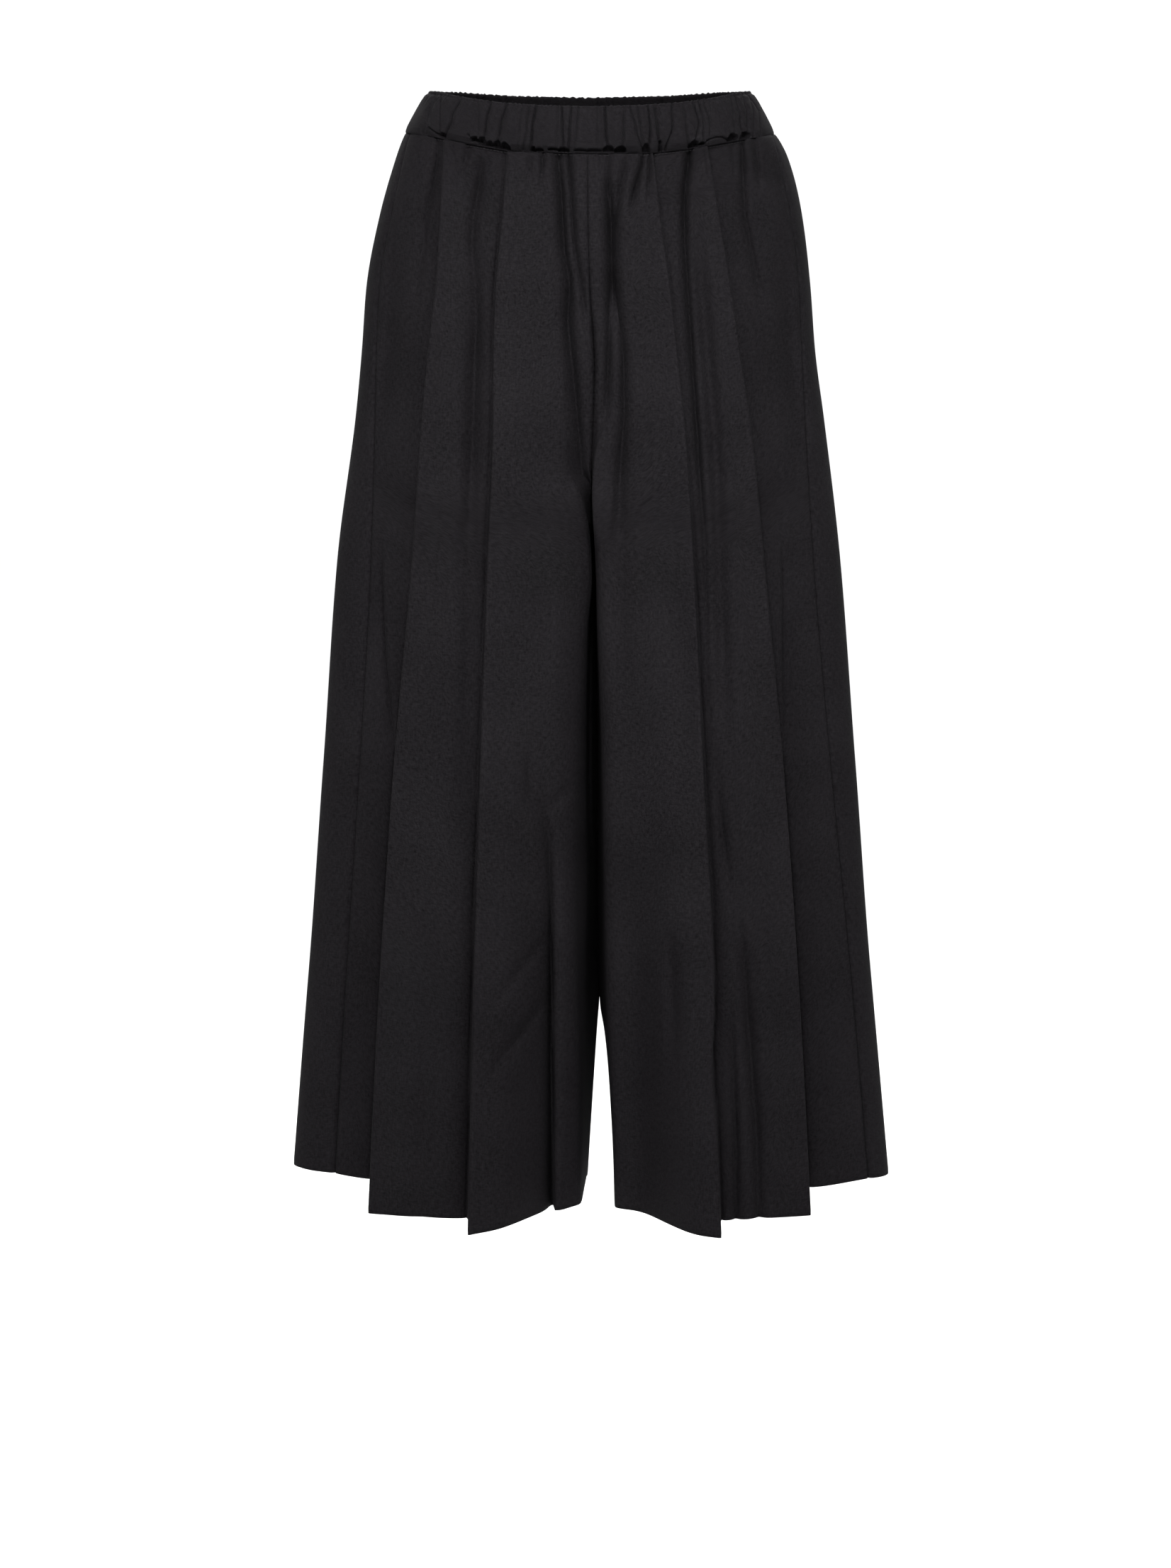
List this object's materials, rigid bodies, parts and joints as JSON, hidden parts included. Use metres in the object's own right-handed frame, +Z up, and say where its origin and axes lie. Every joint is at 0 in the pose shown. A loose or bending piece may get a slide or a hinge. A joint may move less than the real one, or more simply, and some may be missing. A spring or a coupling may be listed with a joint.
{
  "type": "pleated wide-leg trousers",
  "caption": "Black pleated wide-leg cropped trousers with a gathered elastic waistband, worn form, open at the waist and hems.",
  "frame": {"origin": "middle of the waist opening, halfway up the waistband, where the wearer's waist holds the trousers", "axes": "+Z up the wearer, -Y the way the wearer faces, +X to the wearer's left"},
  "size_m": [0.4886, 0.3344, 0.8925],
  "materials": {
    "cloth": "matt, plain fine suiting weave"
  },
  "bodies": {
    "root": {"waistband_front": "cloth", "waistband_back": "cloth", "front_right_leg": "cloth", "front_left_leg": "cloth", "back_right_leg": "cloth", "back_left_leg": "cloth"}
  },
  "joints": []
}
